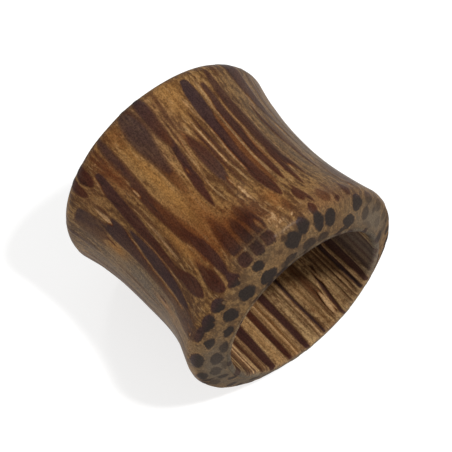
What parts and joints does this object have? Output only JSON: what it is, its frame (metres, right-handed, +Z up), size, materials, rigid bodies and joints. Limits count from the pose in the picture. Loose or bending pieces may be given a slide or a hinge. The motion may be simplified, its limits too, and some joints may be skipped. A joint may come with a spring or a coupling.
{
  "type": "wooden flesh tunnel",
  "caption": "Short hollow ear tunnel turned from dark palm wood, with a concave waist between two rounded flares, sloped end faces and a straight open bore.",
  "frame": {"origin": "on the plane that the two flares rest on, under the middle of the tunnel", "axes": "+X along the bore, towards the end that the picture shows; +Z up, with the tunnel lying on its side"},
  "size_m": [0.0148, 0.0156, 0.0155],
  "materials": {
    "palm_wood": "polished outside, with long dark fibre bundles; matt on the end faces and in the bore"
  },
  "bodies": {
    "root": {"tunnel": "palm_wood"}
  },
  "joints": []
}
